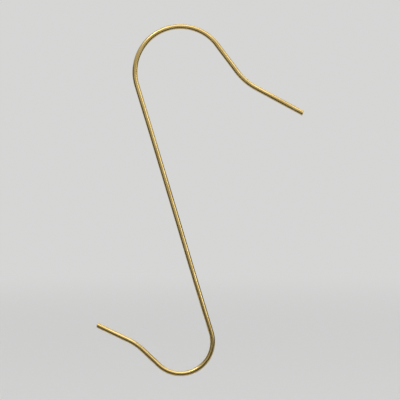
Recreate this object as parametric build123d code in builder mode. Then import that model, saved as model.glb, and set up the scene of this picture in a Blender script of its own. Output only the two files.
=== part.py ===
"""Ornament hook: one length of drawn brass wire, bent flat into an S.

The large bend goes over a branch and the small bend carries an ornament's loop. A straight shank crosses between
them, and behind each bend the tail opens away from the shank, so that the hook slides on without being looked at.

Millimetres. The S lies in the XZ plane, as it hangs. The origin is the seat on the branch, at the inside of the
large bend's crown, and the ornament's seat is straight below it, so +Z is the line of the load.
"""

from build123d import *

import os
from math import atan2, cos, degrees, hypot, radians, sin

# Driving dimensions. Radii are to the middle of the wire, and turns are in degrees.
wire_diameter = 0.6
shank_length = 30.0

large_bend_radius = 5.3
large_bend_turn = 160
large_tail_run = 3.8
large_flare_turn = 25
large_tip_run = 6.2

small_bend_radius = 3.7
small_bend_turn = 150
small_tail_run = 2.5
small_flare_turn = 18
small_tip_run = 4.0

flare_radius = 7.0
end_chamfer = 0.07

# The shank touches both bends, on opposite sides, so it leans from the line of the load.
wire_radius = wire_diameter / 2
bend_offset = large_bend_radius + small_bend_radius
bend_spacing = hypot(shank_length, bend_offset)
shank_lean = degrees(atan2(bend_offset, shank_length))
large_bend_height = wire_radius - large_bend_radius
small_bend_height = large_bend_height - bend_spacing

shank_top = (
    -large_bend_radius * cos(radians(shank_lean)),
    large_bend_height - large_bend_radius * sin(radians(shank_lean)),
)
shank_bottom = (
    small_bend_radius * cos(radians(shank_lean)),
    small_bend_height + small_bend_radius * sin(radians(shank_lean)),
)


def bent_end(start, tangent, bend_radius, bend_turn, tail_run, flare_turn, tip_run):
    """One end of the wire from the shank out: the bend, a straight run, the flare and the tip, each tangent."""
    bend = JernArc(start, tangent, bend_radius, -bend_turn)
    run = PolarLine(bend @ 1, tail_run, direction=bend % 1)
    flare = JernArc(run @ 1, run % 1, flare_radius, flare_turn)
    PolarLine(flare @ 1, tip_run, direction=flare % 1)


with BuildPart() as wire_hook:
    with BuildLine(Plane.XZ) as wire_path:
        shank = Line(shank_top, shank_bottom)
        bent_end(
            shank @ 0,
            shank % 0 * -1,
            large_bend_radius,
            large_bend_turn,
            large_tail_run,
            large_flare_turn,
            large_tip_run,
        )
        bent_end(
            shank @ 1,
            shank % 1,
            small_bend_radius,
            small_bend_turn,
            small_tail_run,
            small_flare_turn,
            small_tip_run,
        )
    with BuildSketch(wire_path.line ^ 0) as wire_section:
        Circle(wire_radius)
    sweep()

    # The cut ends lose their sharp rims.
    cut_ends = wire_hook.faces().filter_by(GeomType.PLANE)
    chamfer(cut_ends.edges(), end_chamfer)

wire_hook.part.label = "wire_hook"

os.makedirs("parts", exist_ok=True)
export_step(wire_hook.part, "parts/wire_hook.step")

wire_length = wire_path.wire().length
straight_volume = wire_section.sketch.area * wire_length
box = wire_hook.part.bounding_box()
print(f"wire length {wire_length:.2f} mm, shank lean {shank_lean:.2f} degrees")
print(f"volume {wire_hook.part.volume:.3f} mm3, section times length {straight_volume:.3f} mm3")
print(f"box {box.min} to {box.max}")
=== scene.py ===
"""Ornament hook: one drawn brass wire, bent flat into an S, hanging above a pale floor.

Metres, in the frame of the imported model: the S lies in the XZ plane, +Z is the line of the load, and the
origin is the seat on the branch. The wire is swept here with a finer section than the solid's, with the
flats that rolling and bending leave on it, and with sheared ends.
"""

from collections import namedtuple
from math import atan2, ceil, cos, hypot, pi, radians, sin

import bmesh
import bpy
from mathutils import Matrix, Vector, noise


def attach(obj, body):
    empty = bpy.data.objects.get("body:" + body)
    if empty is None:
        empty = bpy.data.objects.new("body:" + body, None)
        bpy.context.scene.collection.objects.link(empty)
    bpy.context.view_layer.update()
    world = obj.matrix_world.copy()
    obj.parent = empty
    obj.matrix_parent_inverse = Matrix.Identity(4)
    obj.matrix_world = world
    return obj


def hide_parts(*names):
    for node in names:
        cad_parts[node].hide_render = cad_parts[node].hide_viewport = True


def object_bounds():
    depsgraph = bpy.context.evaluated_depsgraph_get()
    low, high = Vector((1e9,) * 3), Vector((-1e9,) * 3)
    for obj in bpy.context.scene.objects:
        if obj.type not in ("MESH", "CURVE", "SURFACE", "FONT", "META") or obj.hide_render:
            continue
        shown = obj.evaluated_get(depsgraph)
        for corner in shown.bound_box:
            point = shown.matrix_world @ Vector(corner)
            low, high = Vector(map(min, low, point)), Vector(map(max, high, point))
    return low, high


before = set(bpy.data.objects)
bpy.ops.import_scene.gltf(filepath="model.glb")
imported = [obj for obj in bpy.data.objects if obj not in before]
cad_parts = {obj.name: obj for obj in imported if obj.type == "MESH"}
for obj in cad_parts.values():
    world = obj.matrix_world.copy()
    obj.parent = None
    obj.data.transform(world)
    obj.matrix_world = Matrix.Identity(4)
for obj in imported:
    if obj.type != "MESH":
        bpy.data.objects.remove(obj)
cad_low, cad_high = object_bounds()

MM = 0.001

# The wire's driving dimensions, as in the solid. Radii are to the middle of the wire, and turns are in
# degrees.
WIRE_RADIUS = 0.3 * MM
SHANK_LENGTH = 30.0 * MM
LARGE_BEND_RADIUS = 5.3 * MM
LARGE_BEND_TURN = 160
LARGE_TAIL_RUN = 3.8 * MM
LARGE_FLARE_TURN = 25
LARGE_TIP_RUN = 6.2 * MM
SMALL_BEND_RADIUS = 3.7 * MM
SMALL_BEND_TURN = 150
SMALL_TAIL_RUN = 2.5 * MM
SMALL_FLARE_TURN = 18
SMALL_TIP_RUN = 4.0 * MM
FLARE_RADIUS = 7.0 * MM

# How finely the wire is swept, and how many rings shape the rim and the cut face of each end.
STATION_SPACING = 0.16 * MM
SIDES = 48
RIM_RINGS = 6
FACE_RINGS = 8

# How far the section is from round, as shares of its radius: where the feed rolls gripped it, where the
# bending pins pressed it, and in the slow ripple that drawing leaves. A higher focus makes a flat
# narrower, and a lower ease starts it more suddenly along the wire.
ROLL_FLAT = 0.022
ROLL_FOCUS = 10
PIN_FLAT = 0.05
PIN_FOCUS = 6
PIN_EASE = 0.35
DRAW_RIPPLE = 0.010
RIPPLES_ROUND = 1.4
RIPPLES_PER_MM = 0.55

# The middle of the wire wavers too, by a real distance. Each way, left and to the front, reads the noise
# along a line of its own, which keeps off whole numbers, where the noise is 0.
WAVER = 0.025 * MM
WAVER_LENGTH = 9.0 * MM
WAVER_LEFT = (2.0, 0.5)
WAVER_FRONT = (7.0, 0.5)

# The sheared ends, as shares of the wire's radius. The blade rolls one side of the rim over and tears the
# other, where it leaves grains and a burr.
SHEAR_SLANT = 0.14
ROLLED_RIM = 0.36
TORN_RIM = 0.07
FACE_STEP = 0.05
FACE_GRAIN = 0.035
FACE_GRAINS = 6
BURR_LIP = 0.06

# The place round the rim where it starts to roll, from -1 on the torn side to 1 on the blade's.
ROLL_START = -0.8

# The burr starts at this place round the rim, from -1 on the blade's side to 1 on the torn one, and this
# far out on the cut face.
BURR_START = 0.3
BURR_INSIDE = 0.7

# The tear's edge crosses the middle of the face in waves, and it is this soft.
TEAR_WAVES = 3
TEAR_WAVE = 0.1
TEAR_EDGE = 0.25

# The map that patterns are baked on holds the wire's skin as strips, one above the other. The gap between
# them is a share of a strip.
MAP_STRIPS = 6
STRIP_GAP = 0.02

# The brass: its skin where it is most and least tarnished, the marks on it, its freshly cut faces with
# painted glints on their torn grains, and how deep the marks are.
DULL_BRASS = (0.52, 0.37, 0.135)
BRASS = (0.62, 0.46, 0.18)
BRIGHT_BRASS = (0.70, 0.54, 0.235)
STREAK_BROWN = (0.42, 0.27, 0.085)
LINE_SHADE = (0.74, 0.70, 0.62)
SPECK_BROWN = (0.30, 0.18, 0.06)
RUBBED_BRASS = (0.74, 0.59, 0.28)
SHEARED_BRASS = (0.86, 0.71, 0.38)
TORN_BRASS = (0.72, 0.56, 0.28)
# The lightest grains of the torn face are a painted glint.
TORN_PAINTED_GLINT = (0.95, 0.84, 0.54)
WHITE = (1, 1, 1)
MARK_DEPTH = 0.004 * MM

# The stage: a floor that fades, away from the hook, into the colour of the air behind it. AIR_LIGHT is
# how strongly the air lights matt things, where 1 is as bright as it looks.
STUDIO_GREY = (0.67, 0.67, 0.665)
AIR_LIGHT = 0.35
PAPER_GREY = (0.76, 0.76, 0.755)
FIBRE_SHADE = 0.99
FIBRES_PER_METRE = 900
FLOOR_DROP = 9 * MM
FLOOR_RADIUS = 2.0
FADE_START = 0.04
FADE_END = 0.32

# Dark panels that only the metal sees: one lies low in front of the hook, and two stand at its sides.
PANEL_GREY = (0.10, 0.10, 0.10)
LOW_PANEL_SIZE = (0.16, 0.10)
LOW_PANEL_Y = -0.055
SIDE_PANEL_SIZE = (0.058, 0.070)
SIDE_PANEL_X = 0.057
SIDE_PANEL_Y = 0.020

# The lens and the sensor in millimetres, and how much of the frame's height the hook fills.
CAMERA_LENS = 100
CAMERA_SENSOR = 36
FRAME_FILL = 0.88

Station = namedtuple("Station", "x z heading length bend")
Patterns = namedtuple("Patterns", "lines streaks patches specks grain cut torn rub")


class Walk:
    """A point that walks the middle of the wire and leaves a station at each step."""

    def __init__(self, x, z, heading):
        self.x = x
        self.z = z
        self.heading = heading
        self.length = 0.0
        self.stations = []
        self.leave_station(0.0)

    def leave_station(self, bend):
        self.stations.append(Station(self.x, self.z, self.heading, self.length, bend))

    def run(self, distance):
        steps = max(2, round(distance / STATION_SPACING))
        step = distance / steps
        for _ in range(steps):
            self.x += step * cos(self.heading)
            self.z += step * sin(self.heading)
            self.length += step
            self.leave_station(0.0)

    def turn(self, radius, angle):
        """Turns left by angle, or right where it is negative. A station's bend is how hard the wire turns
        there, against the large bend, and it has the angle's sign."""
        side = 1 if angle > 0 else -1
        centre_x = self.x - side * radius * sin(self.heading)
        centre_z = self.z + side * radius * cos(self.heading)
        start = self.heading
        arc = radius * radians(abs(angle))
        steps = max(4, round(arc / STATION_SPACING))
        for step in range(1, steps + 1):
            self.heading = start + radians(angle) * step / steps
            self.x = centre_x + side * radius * sin(self.heading)
            self.z = centre_z - side * radius * cos(self.heading)
            self.length += arc / steps
            self.leave_station(side * LARGE_BEND_RADIUS / radius * swell(step / steps))


def swell(share):
    """Rises quickly from 0, stays near 1 and falls to 0 again, over a share from 0 to 1."""
    return max(0.0, sin(pi * share)) ** PIN_EASE


def smooth(value, low, high):
    """0 below low, 1 above high, and an easy curve between."""
    share = min(1.0, max(0.0, (value - low) / (high - low)))
    return share * share * (3 - 2 * share)


def shank_ends():
    """The shank's top and bottom in the XZ plane, and its heading downwards: it touches both bends."""
    offset = LARGE_BEND_RADIUS + SMALL_BEND_RADIUS
    lean = atan2(offset, SHANK_LENGTH)
    large_height = WIRE_RADIUS - LARGE_BEND_RADIUS
    small_height = large_height - hypot(SHANK_LENGTH, offset)
    top = (-LARGE_BEND_RADIUS * cos(lean), large_height - LARGE_BEND_RADIUS * sin(lean))
    bottom = (SMALL_BEND_RADIUS * cos(lean), small_height + SMALL_BEND_RADIUS * sin(lean))
    return top, bottom, lean - pi / 2


def wire_stations():
    """Stations from the large tip over the large bend, down the shank, and on to the small tip."""
    top, bottom, down = shank_ends()
    upper = Walk(*top, down + pi)
    upper.turn(LARGE_BEND_RADIUS, -LARGE_BEND_TURN)
    upper.run(LARGE_TAIL_RUN)
    upper.turn(FLARE_RADIUS, LARGE_FLARE_TURN)
    upper.run(LARGE_TIP_RUN)

    middle = Walk(*top, down)
    middle.run(SHANK_LENGTH)

    lower = Walk(*bottom, down)
    lower.turn(SMALL_BEND_RADIUS, -SMALL_BEND_TURN)
    lower.run(SMALL_TAIL_RUN)
    lower.turn(FLARE_RADIUS, SMALL_FLARE_TURN)
    lower.run(SMALL_TIP_RUN)

    stations = []
    for place in reversed(upper.stations):
        length = upper.length - place.length
        stations.append(Station(place.x, place.z, place.heading + pi, length, -place.bend))
    for place in middle.stations[1:]:
        stations.append(place._replace(length=upper.length + place.length))
    for place in lower.stations[1:]:
        stations.append(place._replace(length=upper.length + middle.length + place.length))
    return stations


def angle_of(side):
    """A ring's points go round from the back of the wire. Angles are from its left, looking along it, and
    grow towards the front."""
    return 2 * pi * side / SIDES - pi / 2


def pin_press(angle, bend):
    """How hard a bending pin pressed the skin here: all on the inside of a bend."""
    inside = max(0.0, cos(angle) if bend > 0 else -cos(angle))
    return min(1.0, abs(bend)) * inside**PIN_FOCUS


def skin_radius(angle, station):
    """The wire's radius at an angle round it."""
    along = RIPPLES_PER_MM * station.length / MM
    ripple = noise.noise(Vector((RIPPLES_ROUND * cos(angle), RIPPLES_ROUND * sin(angle), along)))
    rolled = ROLL_FLAT * abs(sin(angle)) ** ROLL_FOCUS
    pressed = PIN_FLAT * pin_press(angle, station.bend)
    return WIRE_RADIUS * (1 + DRAW_RIPPLE * (ripple - 1) - rolled - pressed)


def waver(length, line):
    return WAVER * noise.noise(Vector((length / WAVER_LENGTH, *line)))


def ring(station, spread=None, stand=None):
    """One closed ring about a station, as pairs of a point and its place in the section, in wire radii.
    spread scales its radius and stand moves it along the wire. Both are given the angle round the wire."""
    along = Vector((cos(station.heading), 0, sin(station.heading)))
    left = Vector((-sin(station.heading), 0, cos(station.heading)))
    front = Vector((0, -1, 0))
    middle = Vector((station.x, 0, station.z))
    middle += waver(station.length, WAVER_LEFT) * left
    middle += waver(station.length, WAVER_FRONT) * front
    pairs = []
    for side in range(SIDES):
        angle = angle_of(side)
        share = 1.0 if spread is None else spread(angle)
        radius = share * skin_radius(angle, station)
        point = middle + radius * (cos(angle) * left + sin(angle) * front)
        if stand is not None:
            point += stand(angle) * along
        pairs.append((point, (share * cos(angle), share * sin(angle))))
    return pairs


class CutEnd:
    """The shape of one sheared end. outwards is 1 where the wire ends and -1 where it starts, and the seed
    gives the end a tear and grains of its own. One stroke of the blade parts two hooks, so the side that
    it rolls over is the left at one end and the right at the other."""

    def __init__(self, station, outwards, seed):
        self.station = station
        self.outwards = outwards
        self.seed = seed

    def blade_side(self, angle):
        """1 where the blade came in and rolled the rim over, and -1 where the metal tore."""
        return cos(angle) * self.outwards

    def rim(self, angle):
        """The radius that the rim is rounded with, in wire radii."""
        return TORN_RIM + (ROLLED_RIM - TORN_RIM) * smooth(self.blade_side(angle), ROLL_START, 1.0)

    def torn(self, angle, spread):
        """0 on the smooth part of the cut face and 1 where it tore."""
        wave = TEAR_WAVE * cos(TEAR_WAVES * angle + self.seed)
        return 1 - smooth(self.blade_side(angle) * spread + wave, 0.0, TEAR_EDGE)

    def face(self, angle, spread):
        """How far the cut face stands out along the wire, in wire radii. It is 0 at the furthest point."""
        torn = self.torn(angle, spread)
        place = FACE_GRAINS * spread
        grain = noise.noise(Vector((place * cos(angle), place * sin(angle), self.seed)))
        round_rim = smooth(-self.blade_side(angle), BURR_START, 1.0)
        lip = BURR_LIP * round_rim * smooth(spread, BURR_INSIDE, 1.0)
        slant = SHEAR_SLANT * (1 + self.blade_side(angle) * spread)
        return FACE_STEP * (torn - 1) + FACE_GRAIN * torn * (grain - 1) + lip - BURR_LIP - slant

    def rounded_ring(self, turn):
        """A ring on the rim, where it has turned by this angle from the skin towards the cut face."""

        def spread(angle):
            return 1 - self.rim(angle) * (1 - cos(turn))

        def stand(angle):
            behind = self.rim(angle) * (1 - sin(turn))
            return self.outwards * WIRE_RADIUS * (self.face(angle, spread(angle)) - behind)

        return ring(self.station, spread, stand)

    def face_ring(self, share):
        """A ring on the cut face, at a share of the way from its middle to the rim."""

        def spread(angle):
            return share * (1 - self.rim(angle))

        def stand(angle):
            return self.outwards * WIRE_RADIUS * self.face(angle, spread(angle))

        return ring(self.station, spread, stand)

    def rings(self):
        """All the end's rings with how much each is cut face, from the skin inwards."""
        found = []
        for step in range(RIM_RINGS):
            found.append((self.rounded_ring(pi / 2 * step / RIM_RINGS), step / RIM_RINGS))
        for step in range(FACE_RINGS):
            found.append((self.face_ring(1 - step / FACE_RINGS), 1.0))
        return found


class Skin:
    """A closed mesh built up in bands round the wire. Its attributes tell the metal where each point is on
    the wire, how much of it is cut face, how much is torn, and how hard a bending pin rubbed it. Each band
    has its own place on the map."""

    def __init__(self):
        self.mesh = bmesh.new()
        self.coords = self.mesh.verts.layers.float_vector.new("wire_coords")
        self.cut = self.mesh.verts.layers.float.new("cut")
        self.torn = self.mesh.verts.layers.float.new("torn")
        self.rub = self.mesh.verts.layers.float.new("rub")
        self.map = self.mesh.loops.layers.uv.new("OFBake")

    def add_vertex(self, point, around, station, cut, torn, rub):
        vertex = self.mesh.verts.new(point)
        vertex[self.coords] = Vector((*around, station.length / MM))
        vertex[self.cut] = cut
        vertex[self.torn] = torn
        vertex[self.rub] = rub
        return vertex

    def add_line(self, pairs, station, cut=0.0, end=None):
        """A ring's vertices. cut is how far the ring is on to the cut face of an end."""
        line = []
        for side, (point, around) in enumerate(pairs):
            angle = angle_of(side)
            torn = 0.0 if end is None else cut * end.torn(angle, hypot(*around))
            rub = pin_press(angle, station.bend)
            line.append(self.add_vertex(point, around, station, cut, torn, rub))
        return line

    def add_end(self, end):
        """The lines of a sheared end, from the skin inwards, and the vertex at its middle."""
        lines = [self.add_line(pairs, end.station, cut, end) for pairs, cut in end.rings()]
        centre = sum((vertex.co for vertex in lines[-1]), Vector()) / SIDES
        return lines, self.add_vertex(centre, (0, 0), end.station, 1.0, end.torn(0.0, 0.0), 0.0)

    def add_face(self, number, corners):
        """A face of a band. Each corner is a vertex, its share of the way across, and its sides round."""
        strip, column = divmod(number, self.bands_in_strip)
        face = self.mesh.faces.new([vertex for vertex, _, _ in corners])
        face.smooth = True
        for loop, (_, across, sides) in zip(face.loops, corners):
            round_share = STRIP_GAP / 2 + (1 - STRIP_GAP) * sides / SIDES
            over = (column + across) / self.bands_in_strip
            up = (strip + round_share) / MAP_STRIPS
            loop[self.map].uv = (over, up)

    def add_band(self, number, here, there):
        for side in range(SIDES):
            after = (side + 1) % SIDES
            self.add_face(
                number,
                (
                    (here[side], 0, side),
                    (here[after], 0, side + 1),
                    (there[after], 1, side + 1),
                    (there[side], 1, side),
                ),
            )

    def add_fan(self, number, middle, line):
        """The band that closes a cut face. In the wire's first band the line is ahead of the middle."""
        ahead = 1 if number == 0 else 0
        for side in range(SIDES):
            after = (side + 1) % SIDES
            self.add_face(
                number,
                (
                    (middle, 1 - ahead, side + 0.5),
                    (line[side], ahead, side),
                    (line[after], ahead, side + 1),
                ),
            )

    def join(self, lines, first_middle, last_middle):
        """Adds every band, from the middle of one cut face along the lines to the middle of the other."""
        self.bands_in_strip = ceil((len(lines) + 1) / MAP_STRIPS)
        self.add_fan(0, first_middle, lines[0])
        for number, (here, there) in enumerate(zip(lines, lines[1:]), start=1):
            self.add_band(number, here, there)
        self.add_fan(len(lines), last_middle, lines[-1])

    def finish(self, name):
        bmesh.ops.recalc_face_normals(self.mesh, faces=self.mesh.faces)
        data = bpy.data.meshes.new(name)
        self.mesh.to_mesh(data)
        self.mesh.free()
        return data


def wire_mesh():
    """The whole wire, from the middle of one cut face to the middle of the other."""
    stations = wire_stations()
    start = CutEnd(stations[0], outwards=-1, seed=3.7)
    finish = CutEnd(stations[-1], outwards=1, seed=8.1)

    # The skin stops short of each end by the room that the rim and the slanted face need.
    end_depth = (ROLLED_RIM + 2 * SHEAR_SLANT + BURR_LIP + FACE_STEP + FACE_GRAIN) * WIRE_RADIUS
    spare = end_depth + STATION_SPACING / 2
    total = stations[-1].length
    between = [place for place in stations if spare < place.length < total - spare]

    skin = Skin()
    start_lines, start_middle = skin.add_end(start)
    middle_lines = [skin.add_line(ring(place), place) for place in between]
    finish_lines, finish_middle = skin.add_end(finish)
    skin.join(start_lines[::-1] + middle_lines + finish_lines, start_middle, finish_middle)
    return skin.finish("hook_wire")


class Nodes:
    """Adds shader nodes to a material or a world and joins them."""

    def __init__(self, owner):
        owner.use_nodes = True
        self.owner = owner
        self.tree = owner.node_tree
        self.tree.nodes.clear()

    def add(self, kind, inputs=None, **settings):
        node = self.tree.nodes.new(kind)
        for key, value in settings.items():
            setattr(node, key, value)
        for key, value in (inputs or {}).items():
            if isinstance(value, bpy.types.NodeSocket):
                self.tree.links.new(value, node.inputs[key])
            else:
                node.inputs[key].default_value = value
        return node

    def attribute(self, name, output="Fac"):
        return self.add("ShaderNodeAttribute", attribute_name=name).outputs[output]

    def noise(self, coords, scale, detail):
        """Noise with its own scale, in cells to a unit, along each of the coordinates."""
        stretched = self.add("ShaderNodeMapping", {"Vector": coords, "Scale": scale}).outputs["Vector"]
        settings = {"Vector": stretched, "Scale": 1, "Detail": detail}
        return self.add("ShaderNodeTexNoise", settings).outputs["Fac"]

    def ramp(self, factor, stops):
        node = self.add("ShaderNodeValToRGB", {"Fac": factor})
        elements = node.color_ramp.elements
        while len(elements) < len(stops):
            elements.new(0.5)
        for element, (position, colour) in zip(elements, stops):
            element.position = position
            element.color = (*colour, 1)
        return node.outputs["Color"]

    def remap(self, value, source, target):
        inputs = {"Value": value}
        inputs["From Min"], inputs["From Max"] = source
        inputs["To Min"], inputs["To Max"] = target
        return self.add("ShaderNodeMapRange", inputs).outputs["Result"]

    def math(self, operation, *values):
        return self.add("ShaderNodeMath", dict(enumerate(values)), operation=operation).outputs["Value"]

    def blend(self, factor, under, over, how="MIX"):
        """Colour over on colour under, each a socket or three numbers."""
        node = self.add("ShaderNodeMix", data_type="RGBA", blend_type=how)
        for name, value in (("Factor", factor), ("A", under), ("B", over)):
            socket = next(s for s in node.inputs if s.name == name and s.enabled)
            if isinstance(value, bpy.types.NodeSocket):
                self.tree.links.new(value, socket)
            else:
                socket.default_value = value if name == "Factor" else (*value, 1)
        return next(s for s in node.outputs if s.enabled)

    def finish(self, surface, output="ShaderNodeOutputMaterial"):
        self.add(output, {"Surface": surface})
        return self.owner


def brass_patterns(nodes):
    """What the metal's colour, gloss and relief are made from. Each noise has its cells to a wire radius
    across the section and to a millimetre along the wire."""
    coords = nodes.attribute("wire_coords", "Vector")
    return Patterns(
        lines=nodes.noise(coords, (24, 24, 0.6), 3),
        streaks=nodes.noise(coords, (3.2, 3.2, 0.16), 3),
        patches=nodes.noise(coords, (0.9, 0.9, 0.4), 4),
        specks=nodes.noise(coords, (5, 5, 9), 2),
        grain=nodes.noise(coords, (8, 26, 26), 4),
        cut=nodes.attribute("cut"),
        torn=nodes.attribute("torn"),
        rub=nodes.attribute("rub"),
    )


def brass_colour(nodes, patterns):
    tarnish = nodes.ramp(patterns.patches, [(0.32, DULL_BRASS), (0.5, BRASS), (0.7, BRIGHT_BRASS)])
    streaked = nodes.blend(nodes.remap(patterns.streaks, (0.50, 0.72), (0, 0.6)), tarnish, STREAK_BROWN)
    line_tint = nodes.ramp(patterns.lines, [(0.3, LINE_SHADE), (0.6, WHITE)])
    lined = nodes.blend(0.5, streaked, line_tint, "MULTIPLY")
    speckled = nodes.blend(nodes.remap(patterns.specks, (0.70, 0.76), (0, 0.5)), lined, SPECK_BROWN)
    rubbed = nodes.blend(nodes.math("MULTIPLY", patterns.rub, 0.6), speckled, RUBBED_BRASS)
    # The torn face's grain runs from torn brass to a painted glint on its lighter grains.
    torn_grain_and_painted_glints = nodes.ramp(patterns.grain, [(0.35, TORN_BRASS), (0.65, TORN_PAINTED_GLINT)])
    fresh_cut_and_painted_glints = nodes.blend(patterns.torn, SHEARED_BRASS, torn_grain_and_painted_glints)
    return nodes.blend(patterns.cut, rubbed, fresh_cut_and_painted_glints)


def brass_roughness(nodes, patterns):
    """Rougher in the dark lines that drawing leaves and in dull patches, smoother where a pin rubbed, and
    rougher on the cut faces, most of all where they tore."""
    line_part = nodes.remap(patterns.lines, (0.25, 0.75), (0.27, 0.19))
    patch_part = nodes.remap(patterns.patches, (0.3, 0.7), (0.07, -0.03))
    worn = nodes.math("MULTIPLY_ADD", patterns.rub, -0.05, nodes.math("ADD", line_part, patch_part))
    sheared = nodes.math("MULTIPLY_ADD", patterns.cut, 0.10, worn)
    return nodes.math("MULTIPLY_ADD", patterns.torn, 0.20, sheared)


def drawn_brass():
    """Bright drawn brass. Fine lines and darker streaks run along the wire, tarnish lies in faint patches,
    the bends are rubbed brighter on the inside, and the cut faces are fresh, and grainy where they tore,
    with painted glints on the lighter grains."""
    nodes = Nodes(bpy.data.materials.new("drawn_brass"))
    patterns = brass_patterns(nodes)

    # The drawn lines stand out all over. The grain does so on the cut faces alone, most where they tore.
    cut_grain = nodes.math("MULTIPLY", patterns.cut, 0.5)
    grain_depth = nodes.math("MULTIPLY_ADD", patterns.torn, 1.5, cut_grain)
    relief = nodes.math("MULTIPLY_ADD", patterns.grain, grain_depth, patterns.lines)
    bump = nodes.add("ShaderNodeBump", {"Height": relief, "Strength": 0.4, "Distance": MARK_DEPTH})
    metal = nodes.add(
        "ShaderNodeBsdfPrincipled",
        {
            "Base Color": brass_colour(nodes, patterns),
            "Roughness": brass_roughness(nodes, patterns),
            "Normal": bump.outputs["Normal"],
            "Metallic": 1.0,
        },
    )
    return nodes.finish(metal.outputs["BSDF"])


def fading_paper():
    """Matt pale paper that turns, away from the hook, into an even tone with no horizon."""
    nodes = Nodes(bpy.data.materials.new("fading_paper"))
    place = nodes.add("ShaderNodeNewGeometry").outputs["Position"]
    distance = nodes.add("ShaderNodeVectorMath", {0: place}, operation="LENGTH").outputs["Value"]
    fade = nodes.add(
        "ShaderNodeMapRange",
        {"Value": distance, "From Min": FADE_START, "From Max": FADE_END},
        interpolation_type="SMOOTHSTEP",
    )
    fibre = nodes.add("ShaderNodeTexNoise", {"Vector": place, "Scale": FIBRES_PER_METRE, "Detail": 3})
    shade = [FIBRE_SHADE * part for part in PAPER_GREY]
    tone = nodes.blend(nodes.remap(fibre.outputs["Fac"], (0.3, 0.7), (0, 1)), shade, PAPER_GREY)
    paper = nodes.add("ShaderNodeBsdfDiffuse", {"Color": tone})
    air = nodes.add("ShaderNodeEmission", {"Color": (*STUDIO_GREY, 1), "Strength": 1.0})
    mix = nodes.add(
        "ShaderNodeMixShader",
        {0: fade.outputs["Result"], 1: paper.outputs["BSDF"], 2: air.outputs["Emission"]},
    )
    return nodes.finish(mix.outputs["Shader"])


def dark_paper():
    nodes = Nodes(bpy.data.materials.new("dark_paper"))
    paper = nodes.add("ShaderNodeBsdfDiffuse", {"Color": (*PANEL_GREY, 1)})
    return nodes.finish(paper.outputs["BSDF"])


def make_hook():
    hook = bpy.data.objects.new("hook_wire", wire_mesh())
    bpy.context.scene.collection.objects.link(hook)
    hook.data.materials.append(drawn_brass())
    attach(hook, "root")
    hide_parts("wire_hook")


def add_to_stage(name, mesh, material):
    """Makes a bmesh into a thing of the stage, which is no part of the hook."""
    data = bpy.data.meshes.new(name)
    mesh.to_mesh(data)
    mesh.free()
    data.materials.append(material)
    thing = bpy.data.objects.new(name, data)
    bpy.context.scene.collection.objects.link(thing)
    return thing


def make_floor(height):
    mesh = bmesh.new()
    bmesh.ops.create_circle(mesh, cap_ends=True, radius=FLOOR_RADIUS, segments=96)
    floor = add_to_stage("studio_floor", mesh, fading_paper())
    floor.location.z = height


def make_panel(name, material, place, turn, size):
    """A panel that shows only in the metal, and casts no shadow."""
    mesh = bmesh.new()
    bmesh.ops.create_grid(mesh, x_segments=1, y_segments=1, size=0.5)
    bmesh.ops.scale(mesh, vec=(*size, 1), verts=mesh.verts)
    panel = add_to_stage(name, mesh, material)
    panel.location = place
    panel.rotation_euler = turn
    panel.visible_camera = False
    panel.visible_diffuse = False
    panel.visible_shadow = False


def make_panels(centre, floor_height):
    """Dark panels low in front, on the left, and further back on the right. Bright metal with only a pale
    stage to reflect looks flat."""
    dark = dark_paper()
    low_place = (centre.x, LOW_PANEL_Y, floor_height + MM)
    make_panel("low_panel", dark, low_place, (0, 0, 0), LOW_PANEL_SIZE)
    for name, side in (("left_panel", -1), ("right_panel", 1)):
        place = (centre.x + side * SIDE_PANEL_X, side * SIDE_PANEL_Y, centre.z)
        make_panel(name, dark, place, (0, pi / 2, 0), SIDE_PANEL_SIZE)


def soft_box(name, target, towards, distance, size, radiance):
    """A rectangular lamp of an even brightness, turned to the target. The camera doesn't see it."""
    data = bpy.data.lights.new(name, "AREA")
    data.shape = "RECTANGLE"
    data.size, data.size_y = size
    data.energy = pi * radiance * size[0] * size[1]
    lamp = bpy.data.objects.new(name, data)
    direction = Vector(towards).normalized()
    lamp.location = target + distance * direction
    lamp.rotation_euler = direction.to_track_quat("Z", "Y").to_euler()
    lamp.visible_camera = False
    bpy.context.scene.collection.objects.link(lamp)


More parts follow.
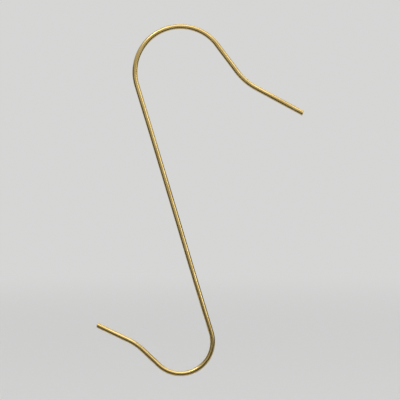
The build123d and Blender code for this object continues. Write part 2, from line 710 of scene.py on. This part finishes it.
def light_studio(centre):
    """A broad box above the front, a small bright one to its left, a tall one on the right, and a strip
    behind."""
    soft_box("top_box", centre, (-0.05, -0.50, 0.87), distance=0.80, size=(1.10, 0.80), radiance=1.7)
    soft_box("key_box", centre, (-0.45, -0.55, 0.72), distance=0.78, size=(0.11, 0.11), radiance=14.0)
    soft_box("side_box", centre, (0.75, -0.55, 0.36), distance=0.80, size=(0.30, 0.60), radiance=2.4)
    soft_box("back_box", centre, (0.25, 0.65, 0.72), distance=0.80, size=(0.70, 0.14), radiance=2.5)


def pale_air():
    """Air that the eye, metal and glass see as an even pale grey, and that lights the rest more dimly."""
    nodes = Nodes(bpy.data.worlds.new("pale_air"))
    path = nodes.add("ShaderNodeLightPath").outputs
    seen = nodes.math("MAXIMUM", path["Is Camera Ray"], path["Is Glossy Ray"])
    seen = nodes.math("MAXIMUM", seen, path["Is Transmission Ray"])
    strength = nodes.remap(seen, (0, 1), (AIR_LIGHT, 1))
    air = nodes.add("ShaderNodeBackground", {"Color": (*STUDIO_GREY, 1), "Strength": strength})
    return nodes.finish(air.outputs["Background"], "ShaderNodeOutputWorld")


def make_camera(low, high):
    """Square to the flat of the S, with the hook over most of the frame's height."""
    data = bpy.data.cameras.new("camera")
    data.lens = CAMERA_LENS
    data.sensor_width = CAMERA_SENSOR
    data.clip_start = 0.01
    data.clip_end = 2 * FLOOR_RADIUS
    camera = bpy.data.objects.new("camera", data)
    distance = (high.z - low.z) / FRAME_FILL * CAMERA_LENS / CAMERA_SENSOR
    camera.location = (low + high) / 2 - Vector((0, distance, 0))
    camera.rotation_euler = (pi / 2, 0, 0)
    bpy.context.scene.collection.objects.link(camera)
    bpy.context.scene.camera = camera


hook_centre = (cad_low + cad_high) / 2
floor_height = cad_low.z - FLOOR_DROP

make_camera(cad_low, cad_high)
make_hook()
make_floor(floor_height)
make_panels(hook_centre, floor_height)
light_studio(hook_centre)
bpy.context.scene.world = pale_air()
bpy.context.scene.view_settings.view_transform = "Standard"
